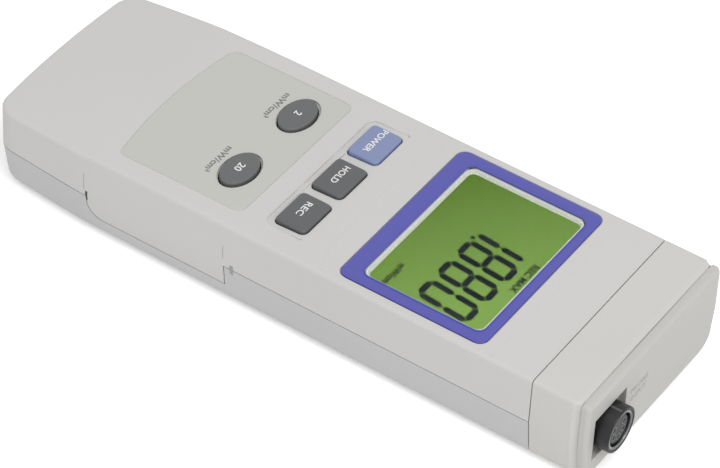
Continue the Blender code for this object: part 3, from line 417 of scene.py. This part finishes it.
low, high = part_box("display_bezel")
window_low, window_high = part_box("display_window")
bezel_centre = ((low.x + high.x) / 2, (low.y + high.y) / 2)
view_centre = ((window_low.x + window_high.x) / 2, (window_low.y + window_high.y) / 2)
view_width = window_high.x - window_low.x + 1.2 * MM
view_length = window_high.y - window_low.y + 1.2 * MM
bend = np.linspace(0, math.pi / 2, 5)
outer = [level(rounded(high.x - low.x, high.y - low.y, BEZEL_RADIUS,
                       ROUND_OVER * (1 - math.cos(t)), bezel_centre),
               high.z - ROUND_OVER * (1 - math.sin(t))) for t in bend]
inner = [level(rounded(view_width, view_length, VIEW_RADIUS, -ROUND_OVER * math.sin(t),
                       view_centre), high.z - ROUND_OVER * (1 - math.cos(t))) for t in bend[::-1]]
foot_in = level(rounded(view_width, view_length, VIEW_RADIUS, 0, view_centre), low.z)
foot_out = level(rounded(high.x - low.x, high.y - low.y, BEZEL_RADIUS, 0, bezel_centre), low.z)
bezel = loft("bezel_frame", np.array(outer + inner + [foot_in, foot_out]), loop=True)
bezel_paint = grained("bezel_satin_paint_blue", BEZEL_BLUE, 0.4, 0.35 * MM, depth=0.004 * MM,
                      drift=0.02, Coat_Weight=0.15, Coat_Roughness=0.3)
settle(bezel, bezel_paint, "root", "bezel_blue", "display_bezel")


# ---- Display ----------------------------------------------------------------------------------
# A reflective liquid-crystal glass in a white frame, behind a clear acrylic window.
# The glass is olive green and its segments show almost black. Its green is painted paler to the
# right and towards the probe end, as painted light across the glass.
DIGIT_HEIGHT = 18.0 * MM
DIGIT_WIDTH = 7.9 * MM
DIGIT_PITCH = 9.6 * MM
SEGMENT = 1.95 * MM
SEGMENT_GAP = 0.12 * MM
SLANT = math.tan(math.radians(4.7))
BASELINE_Y = probe_end - 62.4 * MM
LAST_DIGIT_X = 19.9 * MM
READING = "1880"
LIT = {"0": "abcdef", "1": "bc", "8": "abcdefg"}
SEGMENT_INK = "#0b1618"
RIM_LIP = 0.12 * MM
RIM_FOOT = 0.5 * MM
RIM_OUT = -0.55 * MM
COATED_SHARE = 0.98  # the anti-glare coating lets this share of the view through unreflected
LCD_PAINTED_SHADE_GREEN, LCD_PAINTED_LIGHT_GREEN = "#4f7510", "#82ac4a"

clear, tree, place, shader = start_material(
    "window_clear_acrylic", Base_Color=(1, 1, 1, 1), Roughness=0.03, IOR=1.49,
    Transmission_Weight=1.0, Specular_IOR_Level=0.1)
rays = add(tree, "ShaderNodeLightPath")
lamp_or_bounce = add(tree, "ShaderNodeMath", {0: rays.outputs["Is Shadow Ray"],
                                              1: rays.outputs["Is Diffuse Ray"]},
                     operation="MAXIMUM")
through = add(tree, "ShaderNodeMapRange", {"Value": lamp_or_bounce.outputs[0],
                                           "To Min": COATED_SHARE, "To Max": 1.0})
open_ = add(tree, "ShaderNodeBsdfTransparent")
pane_shader = add(tree, "ShaderNodeMixShader", {0: through.outputs[0]})
tree.links.new(shader.outputs[0], pane_shader.inputs[1])
tree.links.new(open_.outputs[0], pane_shader.inputs[2])
tree.links.new(pane_shader.outputs[0], tree.nodes["Material Output"].inputs["Surface"])
pane_rings = [level(rounded(window_high.x - window_low.x, window_high.y - window_low.y,
                            VIEW_RADIUS, inset, view_centre), z)
              for inset, z in ((0, window_low.z), (0, window_high.z - 0.1 * MM),
                               (0.1 * MM, window_high.z))]
settle(loft("window_pane", np.array(pane_rings)), clear, "root", "window_clear",
       "display_window")

glass_low, glass_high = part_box("lcd_glass")
liquid, tree, place, shader = start_material("lcd_glass_olive_green_painted_light", Specular_IOR_Level=0.1,
                                             Roughness=0.5)
# Painted light: the green runs from darker at -X and the grip end to paler at +X and the probe end.
axes = add(tree, "ShaderNodeSeparateXYZ", {0: place})
across = add(tree, "ShaderNodeMapRange", {"Value": axes.outputs["X"], "From Min": -26 * MM,
                                          "From Max": 26 * MM})
up = add(tree, "ShaderNodeMapRange", {"Value": axes.outputs["Y"], "From Min": glass_low.y,
                                      "From Max": glass_high.y})
share = add(tree, "ShaderNodeMath", {0: across.outputs[0], 1: up.outputs[0]}, operation="ADD")
half = add(tree, "ShaderNodeMath", {0: share.outputs[0], 1: 0.5}, operation="MULTIPLY")
polish = add(tree, "ShaderNodeTexNoise", {"Vector": place, "Scale": 1 / (0.4 * MM)})
haze = add(tree, "ShaderNodeMath", {0: polish.outputs["Fac"], 1: 0.12}, operation="MULTIPLY")
mixed = add(tree, "ShaderNodeMath", {0: half.outputs[0], 1: haze.outputs[0]}, operation="ADD")
green = add(tree, "ShaderNodeMix", {0: mixed.outputs[0], 6: linear(LCD_PAINTED_SHADE_GREEN),
                                    7: linear(LCD_PAINTED_LIGHT_GREEN)}, data_type="RGBA")
tree.links.new(green.outputs[2], shader.inputs["Base Color"])
white_abs = grained("frame_white_ABS", "#e6e8e0", 0.45, 0.4 * MM)
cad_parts["lcd_glass"].data.materials.clear()
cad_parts["lcd_glass"].data.materials.append(liquid)
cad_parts["lcd_frame"].data.materials.clear()
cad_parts["lcd_frame"].data.materials.append(white_abs)


rim_top, rim_foot = window_low.z - 0.05 * MM, glass_high.z + 0.02 * MM
funnel = [level(rounded(window_high.x - window_low.x, window_high.y - window_low.y, VIEW_RADIUS,
                        inset, view_centre), z)
          for inset, z in ((RIM_OUT, rim_top), (RIM_LIP, rim_top), (RIM_FOOT, rim_foot),
                           (RIM_OUT, rim_foot))]
settle(loft("display_rim", np.array(funnel), loop=True), white_abs, "root", "white_plastic")


def bar(start, end, thick):
    """A segment's outline: a bar from start to end with both ends cut to a point at 45 degrees."""
    start, end = np.array(start), np.array(end)
    along = (end - start) / np.linalg.norm(end - start)
    side_ = np.array([-along[1], along[0]]) * thick / 2
    tip = along * thick / 2
    return np.array([start, start + tip + side_, end - tip + side_, end, end - tip - side_,
                     start + tip - side_])


def digit_bars(mark):
    """Outlines of a seven-segment digit with its lower left corner at the origin."""
    left, right = SEGMENT / 2, DIGIT_WIDTH - SEGMENT / 2
    foot, waist, head = SEGMENT / 2, DIGIT_HEIGHT / 2, DIGIT_HEIGHT - SEGMENT / 2
    gap = SEGMENT_GAP
    spans = {"a": ((left + gap, head), (right - gap, head)),
             "b": ((right, head - gap), (right, waist + gap)),
             "c": ((right, waist - gap), (right, foot + gap)),
             "d": ((left + gap, foot), (right - gap, foot)),
             "e": ((left, foot + gap), (left, waist - gap)),
             "f": ((left, waist + gap), (left, head - gap)),
             "g": ((left + gap, waist), (right - gap, waist))}
    return [bar(*spans[key], SEGMENT) for key in LIT[mark]]


ink = grained("lcd_segment_dark", SEGMENT_INK, 0.5, 0.3 * MM, depth=0.0, drift=0.02,
              Specular_IOR_Level=0.03)
ink_z = glass_high.z + 0.01 * MM


def plate(name, outlines, z, thick):
    """Thin upright-sided plates, one for each outline, in one mesh."""
    pieces = [loft(f"{name}_{i}", np.array([level(o, z), level(o, z + thick)]))
              for i, o in enumerate(outlines)]
    form = bmesh.new()
    for piece in pieces:
        form.from_mesh(piece.data)
        bpy.data.objects.remove(piece)
    mesh = bpy.data.meshes.new(name)
    form.to_mesh(mesh)
    form.free()
    whole = bpy.data.objects.new(name, mesh)
    scene.collection.objects.link(whole)
    return whole


for number, mark in enumerate(READING):
    corner = np.array([LAST_DIGIT_X - DIGIT_WIDTH / 2 - (len(READING) - 1 - number) * DIGIT_PITCH,
                       BASELINE_Y])
    shapes = [np.column_stack([o[:, 0] + o[:, 1] * SLANT, o[:, 1]]) + corner
              for o in digit_bars(mark)]
    settle(plate(f"digit_{number + 1}", shapes, ink_z, 0.03 * MM), ink, "root", "display_green")
point = rounded(1.3 * MM, 1.3 * MM, 0.25 * MM, 0,
                (LAST_DIGIT_X - 2.5 * DIGIT_PITCH + 0.1 * MM, BASELINE_Y + 0.65 * MM))
settle(plate("decimal_point", [point], ink_z, 0.03 * MM), ink, "root", "display_green")
for name, text, width, height, centre in (
        ("mark_rec_max", "REC MAX", 12.6 * MM, 2.2 * MM, (1.2 * MM, BASELINE_Y + 20.8 * MM)),
        ("mark_unit", "mW/cm²", 10.0 * MM, 2.2 * MM, (21.2 * MM, BASELINE_Y - 8.7 * MM))):
    place = Matrix.Translation((*centre, ink_z))
    settle(words(name, text, width, height, place, bold=0.03), ink, "root", "display_green")


# ---- Keys -------------------------------------------------------------------------------------
# Five ABS key caps over a rubber mat: three square ones, the power key in pale blue, and two
# ovals. Each has a softly crowned top with rounded edges and white pad-printed wording.
KEY_SIZE = (13.7 * MM, 10.1 * MM)
KEY_RADIUS = 1.5 * MM
OVAL_SIZE = (14.7 * MM, 9.4 * MM)
KEY_ROUND = 0.55 * MM
CROWN = 0.22 * MM


def ellipse(width, length, inset, centre, count=64):
    """Points round an ellipse whose half axes are shortened by inset."""
    turn_ = np.linspace(0, 2 * math.pi, count, endpoint=False)
    return np.column_stack([centre[0] + (width / 2 - inset) * np.cos(turn_),
                            centre[1] + (length / 2 - inset) * np.sin(turn_)])


def key_cap(name, outline, centre, low_z, top_z):
    """A cap: upright wall, quarter-round edge, then a crown that rises as 1 - s squared.

    outline(inset) gives its plan; inside the edge, rings shrink to the centre by the share s."""
    edge_z = top_z - CROWN - KEY_ROUND
    rings = [level(outline(0), low_z), level(outline(0), edge_z - 0.3 * MM)]
    rings += [level(outline(KEY_ROUND * (1 - math.cos(t))), edge_z + KEY_ROUND * math.sin(t))
              for t in np.linspace(0, math.pi / 2, 7)]
    rim = outline(KEY_ROUND)
    for share_ in (0.97, 0.9, 0.8, 0.65, 0.5, 0.35, 0.2, 0.05):
        plan = centre + (rim - centre) * share_
        rings.append(level(plan, edge_z + KEY_ROUND + CROWN * (1 - share_ ** 2)))
    return loft(name, np.array(rings))


dark_key = grained("key_cap_ABS_charcoal", "#5f6062", 0.5, 0.4 * MM, drift=0.04)
oval_key = grained("key_cap_ABS_slate", "#666768", 0.5, 0.4 * MM, drift=0.04)
blue_key = grained("key_cap_ABS_periwinkle", "#8591b8", 0.5, 0.4 * MM, drift=0.04)
white_ink = grained("pad_printed_ink_white", "#f2f2f0", 0.5, 0.15 * MM)
WORD_SHIFT = (-0.9 * MM, -0.4 * MM)
for node, text, width, look, slot in (
        ("power_key", "POWER", 10.6 * MM, blue_key, "key_blue"),
        ("hold_key", "HOLD", 7.7 * MM, dark_key, "key_dark"),
        ("record_key", "REC", 6.0 * MM, dark_key, "key_dark"),
        ("range_2_key", "2", 1.5 * MM, oval_key, "key_dark"),
        ("range_20_key", "20", 3.3 * MM, oval_key, "key_dark")):
    low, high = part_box(node)
    centre = np.array([(low.x + high.x) / 2, (low.y + high.y) / 2])
    oval = node.startswith("range")
    size = OVAL_SIZE if oval else KEY_SIZE

    def plan(inset, size=size, centre=centre, oval=oval):
        """The cap's outline, drawn in by inset."""
        if oval:
            return ellipse(*size, inset, centre)
        return rounded(*size, KEY_RADIUS, inset, centre, corner=14)

    cap = settle(key_cap(node.replace("_key", "_cap"), plan, centre, high.z - 3.4 * MM, high.z),
                 look, node, slot, node)
    spot = centre if oval else centre + WORD_SHIFT
    settle(words(f"word_{node}", text, width, 2.2 * MM if oval else 2.0 * MM,
                 Matrix.Translation((*spot, high.z)), touching(cap)), white_ink, node, slot)


# ---- Label and its units ----------------------------------------------------------------------
# A polycarbonate film bonded into a shallow recess of the face, printed a flat neutral grey.
# Its panel is plain: only the two units under the range keys are printed on it.
LABEL_GREY = "#c8c8c3"
UNIT_GREY = "#7c7c7c"
LABEL_REACH = 0.22 * MM
film = grained("label_polycarbonate_film", LABEL_GREY, 0.42, 0.25 * MM, depth=0.003 * MM,
               drift=0.015)
unit_ink = grained("screen_printed_ink_grey", UNIT_GREY, 0.5, 0.2 * MM)
label = settle(dressed("label_panel", "label_film", 0.05 * MM), film, "root", "label_film",
               "label_panel")
low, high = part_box("label_panel")
centre = (low + high) / 2
spread = Matrix.Diagonal((1 + 2 * LABEL_REACH / (high.x - low.x),
                          1 + 2 * LABEL_REACH / (high.y - low.y), 1, 1))
label.data.transform(Matrix.Translation(centre) @ spread @ Matrix.Translation(-centre))
label_surface = touching(label)
for node in ("range_2_key", "range_20_key"):
    low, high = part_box(node)
    spot = ((low.x + high.x) / 2 + 0.1 * MM, (low.y + high.y) / 2 - 7.4 * MM, high.z)
    settle(words(f"unit_{node}", "mW/cm²", 12.2 * MM, 2.1 * MM, Matrix.Translation(spot),
                 label_surface, bold=0.02), unit_ink, "root", "label_film")


# ---- Probe socket -----------------------------------------------------------------------------
# A round chassis socket: a black moulded barrel with a bright plated shell inside it, and a
# black insert whose holes lead to five gold-flashed contacts. The holes' dark insides are painted
# shade: a flat black disc in each plated sleeve. A grey strip along the top of the barrel is a
# painted highlight.
BARREL_WALL = 0.95 * MM
SHELL_WALL = 0.32 * MM
MOUTH_ROUND = 0.35 * MM
HIGHLIGHT_WIDTH = 0.7 * MM
INSERT_RADIUS = 4.5 * MM
INSERT_SETBACK = 0.8 * MM
HOLE_RADIUS = 1.05 * MM
HOLE_CIRCLE = 2.8 * MM
HOLE_COUNT = 5


def turned(name, profile, centre, count=72, loop=False):
    """A turned body about an axis along Y: each (radius, y) of the profile becomes one ring."""
    turn_ = np.linspace(0, 2 * math.pi, count, endpoint=False)
    profile = np.array(profile)
    rings = np.stack([centre.x + profile[:, :1] * np.cos(turn_)[None],
                      np.repeat(profile[:, 1:], count, axis=1),
                      centre.z + profile[:, :1] * np.sin(turn_)[None]], axis=-1)
    return loft(name, rings, loop=loop)


low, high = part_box("probe_socket")
middle = (low + high) / 2
radius = (high.x - low.x) / 2
mouth = high.y
bend = np.linspace(0, math.pi / 2, 5)
outside = [(radius - MOUTH_ROUND * (1 - math.cos(t)), mouth - MOUTH_ROUND * (1 - math.sin(t)))
           for t in bend]
inside = [(radius - BARREL_WALL + MOUTH_ROUND * (1 - math.cos(t)) * 0.8,
           mouth - MOUTH_ROUND * (1 - math.sin(t))) for t in bend[::-1]]
barrel_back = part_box("end_plate")[0].y - 2 * MM
black_abs = grained("barrel_black_nylon", "#151516", 0.36, 0.3 * MM, drift=0.05)
hole_shade_black = grained("painted_shade_in_contact_holes", "#08080a", 0.6, 0.3 * MM)
barrel = turned("socket_barrel", [(radius, barrel_back), *outside, *inside,
                                  (radius - BARREL_WALL, barrel_back)], middle, loop=True)
settle(barrel, black_abs, "root", "black_plastic", "probe_socket")
# Painted highlight: a low grey strip along the top of the black barrel.
highlight_span = np.linspace(barrel_back + 2 * MM, mouth - 0.5 * MM, 8)
settle(ribbon("socket_top_highlight", [(middle.x, y, middle.z + radius) for y in highlight_span],
              [(0, 0, 1)] * 8, HIGHLIGHT_WIDTH, 0.03 * MM),
       grained("painted_highlight_on_barrel", "#5a5a5b", 0.4, 0.3 * MM), "root", "black_plastic")


def plated(name, colour, roughness, line):
    """Bright plated metal with fine lines from the press or lathe, spaced by line, in its gloss."""
    look, tree, place, shader = start_material(name, Metallic=1.0)
    axes = add(tree, "ShaderNodeMapping", {0: place, "Scale": (1, 0.06, 1)})
    lines = add(tree, "ShaderNodeTexNoise", {"Vector": axes.outputs[0], "Scale": 1 / line,
                                             "Detail": 4.0})
    tone = add(tree, "ShaderNodeMapRange", {"Value": lines.outputs["Fac"], "To Min": 0.9,
                                            "To Max": 1.08})
    paint = add(tree, "ShaderNodeVectorMath", {0: linear(colour)[:3], "Scale": tone.outputs[0]},
                operation="SCALE")
    gloss = add(tree, "ShaderNodeMapRange", {"Value": lines.outputs["Fac"],
                                             "To Min": roughness - 0.07,
                                             "To Max": roughness + 0.07})
    bump = add(tree, "ShaderNodeBump", {"Height": lines.outputs["Fac"], "Distance": 0.004 * MM})
    tree.links.new(paint.outputs[0], shader.inputs["Base Color"])
    tree.links.new(gloss.outputs[0], shader.inputs["Roughness"])
    tree.links.new(bump.outputs[0], shader.inputs["Normal"])
    return look


tin = plated("shell_tin_plated_steel", "#9fa1a3", 0.3, 0.3 * MM)
steel = plated("screw_zinc_plated_steel", "#b4b6b8", 0.32, 0.25 * MM)
brass = plated("contact_gold_flashed_brass", "#d9b25c", 0.28, 0.2 * MM)
ring_out = radius - BARREL_WALL - 0.05 * MM
ring_mouth = mouth - 0.25 * MM
shell_rings = [(ring_out, barrel_back), (ring_out, ring_mouth),
               (ring_out - SHELL_WALL / 2, ring_mouth + 0.12 * MM),
               (ring_out - SHELL_WALL, ring_mouth), (ring_out - SHELL_WALL, barrel_back)]
settle(turned("socket_ring", shell_rings, middle, loop=True), tin, "root", "shield_metal")
face = mouth - INSERT_SETBACK
core_round = 0.3 * MM
core = [(INSERT_RADIUS, barrel_back)]
core += [(INSERT_RADIUS - core_round * (1 - math.cos(t)), face - core_round * (1 - math.sin(t)))
         for t in bend]
core += [(INSERT_RADIUS * share_, face) for share_ in (0.8, 0.5, 0.2, 0.02)]
settle(turned("socket_core", core, middle), black_abs, "root", "black_plastic", "socket_insert")
for number in range(HOLE_COUNT):
    spot = math.radians(-90 + (number - 2) * 60)
    centre = middle + Vector((math.cos(spot), 0, math.sin(spot))) * HOLE_CIRCLE
    rim = [(HOLE_RADIUS, face - 0.2 * MM), (HOLE_RADIUS, face + 0.04 * MM),
           (HOLE_RADIUS * 0.9, face + 0.1 * MM), (HOLE_RADIUS * 0.82, face + 0.04 * MM),
           (HOLE_RADIUS * 0.8, face - 0.2 * MM)]
    settle(turned(f"socket_sleeve_{number + 1}", rim, centre, count=24, loop=True), tin, "root",
           "shield_metal")
    # Painted shade: a flat black disc in the sleeve stands for the dark inside of the hole.
    shade_disc = [(HOLE_RADIUS * 0.8, face - 0.1 * MM), (HOLE_RADIUS * 0.8, face + 0.02 * MM),
            (HOLE_RADIUS * 0.02, face + 0.02 * MM)]
    settle(turned(f"socket_hole_shade_{number + 1}", shade_disc, centre, count=24), hole_shade_black, "root",
           "black_plastic")


# ---- Back: battery cover, tilt stand and screws -----------------------------------------------
# The back carries a sliding battery cover and a fold-out stand, both moulded in the case's ABS,
# and zinc-plated pan-head screws stand in counterbores at its corners.
settle(dressed("battery_cover", "battery_door", CASE_ROUND), back_abs, "battery_cover",
       "back_plastic", "battery_cover")
settle(dressed("tilt_stand", "stand_leg", CASE_ROUND), back_abs, "tilt_stand", "back_plastic",
       "tilt_stand")


# ---- Pieces inside the case -------------------------------------------------------------------
# The board, its parts, the key mat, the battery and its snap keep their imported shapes. Each gets
# the finish of the real part: solder-masked laminate, moulded epoxy, rubber, foam or plated metal.
board = grained("board_green_solder_mask", "#2c6a3f", 0.35, 0.5 * MM, depth=0.006 * MM, drift=0.08)
epoxy = grained("chip_moulded_epoxy", "#232426", 0.6, 0.2 * MM)
mat = grained("key_mat_silicone_rubber", "#26262a", 0.7, 0.3 * MM)
foam = grained("battery_pad_open_foam", "#55565a", 0.95, 0.5 * MM, depth=0.2 * MM, drift=0.15)
wrap = grained("battery_printed_wrap", "#4a4c50", 0.35, 0.6 * MM, depth=0.003 * MM)
diffuser = grained("diffuser_white_acrylic", "#eef0ea", 0.3, 0.5 * MM, depth=0.002 * MM)
stripe = grained("contact_strip_zebra_rubber", "#4b4750", 0.75, 0.15 * MM, drift=0.2)
lead_red = grained("lead_PVC_red", "#a32a24", 0.4, 0.3 * MM)
lead_black = grained("lead_PVC_black", "#222223", 0.4, 0.3 * MM)
INNER = {"main_board": board, "socket_board": board, "processor": epoxy, "amplifier_left": epoxy,
         "amplifier_right": epoxy, "key_mat": mat, "battery_pad": foam, "battery": wrap,
         "battery_snap": black_abs, "battery_stud_left": steel, "battery_stud_right": steel,
         "battery_lead_left": lead_red, "battery_lead_right": lead_black,
         "backlight_plate": diffuser, "contact_strip_lower": stripe,
         "contact_strip_upper": stripe, "socket_shield": tin, "cover_screw": steel}
INNER.update({f"case_screw_{i}": steel for i in range(1, 5)})
INNER.update({f"board_screw_{i}": steel for i in range(1, 5)})
INNER.update({f"socket_contact_{i}": brass for i in range(1, 6)})
for node, look in INNER.items():
    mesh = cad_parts[node].data
    mesh.materials.clear()
    mesh.materials.append(look)


# ---- Studio -----------------------------------------------------------------------------------
# A white sweep under soft light from all round, with one broad lamp above the probe end for a
# gentle shadow, so that a colour renders about as it is written.
FLOOR_HALF = 3.0
FLOOR_WHITE = "#fbfbfb"
FLOOR_LIFT = 0.3
AMBIENT = 0.62
KEY_POWER = 13.0
KEY_PLACE = Vector((0.5, 0.9, 1.5))
KEY_SPREAD = 0.9

mesh = bpy.data.meshes.new("floor")
corners = [(x, y, -0.0003) for x, y in ((-1, -1), (1, -1), (1, 1), (-1, 1))]
mesh.from_pydata([(x * FLOOR_HALF, y * FLOOR_HALF, z) for x, y, z in corners], [], [(0, 1, 2, 3)])
floor = bpy.data.objects.new("floor", mesh)
scene.collection.objects.link(floor)
sweep, tree, place, shader = start_material("floor_white_paper", Roughness=0.9)
fibre = add(tree, "ShaderNodeTexNoise", {"Vector": place, "Scale": 1 / (2 * MM), "Detail": 2.0})
pale = add(tree, "ShaderNodeMapRange", {"Value": fibre.outputs["Fac"], "To Min": 0.995,
                                        "To Max": 1.0})
paint = add(tree, "ShaderNodeVectorMath", {0: linear(FLOOR_WHITE)[:3], "Scale": pale.outputs[0]},
            operation="SCALE")
tree.links.new(paint.outputs[0], shader.inputs["Base Color"])
rays = add(tree, "ShaderNodeLightPath")
glow = add(tree, "ShaderNodeMath", {0: rays.outputs["Is Camera Ray"], 1: FLOOR_LIFT},
           operation="MULTIPLY")
lift = add(tree, "ShaderNodeEmission", {"Color": (1, 1, 1, 1), "Strength": glow.outputs[0]})
both = add(tree, "ShaderNodeAddShader", {0: shader.outputs[0], 1: lift.outputs[0]})
tree.links.new(both.outputs[0], tree.nodes["Material Output"].inputs["Surface"])
floor.data.materials.append(sweep)

world = bpy.data.worlds.new("studio")
world.use_nodes = True
scene.world = world
tree = world.node_tree
tree.nodes.clear()
rays = add(tree, "ShaderNodeLightPath")
seen = add(tree, "ShaderNodeMath", {0: rays.outputs["Is Camera Ray"],
                                    1: rays.outputs["Is Glossy Ray"]}, operation="MAXIMUM")
seen = add(tree, "ShaderNodeMath", {0: seen.outputs[0], 1: rays.outputs["Is Transmission Ray"]},
           operation="MAXIMUM")
level_ = add(tree, "ShaderNodeMapRange", {"Value": seen.outputs[0], "To Min": AMBIENT,
                                          "To Max": 1.0})
sky = add(tree, "ShaderNodeBackground", {"Color": (1, 1, 1, 1), "Strength": level_.outputs[0]})
add(tree, "ShaderNodeOutputWorld", {"Surface": sky.outputs[0]})

lamp = bpy.data.lights.new("key_light", "AREA")
lamp.energy = KEY_POWER
lamp.size = KEY_SPREAD
key_light = bpy.data.objects.new("key_light", lamp)
key_light.matrix_world = (Matrix.Translation(KEY_PLACE)
                          @ (-KEY_PLACE).to_track_quat("-Z", "Y").to_matrix().to_4x4())
scene.collection.objects.link(key_light)
scene.view_settings.view_transform = "Standard"

bpy.context.view_layer.update()
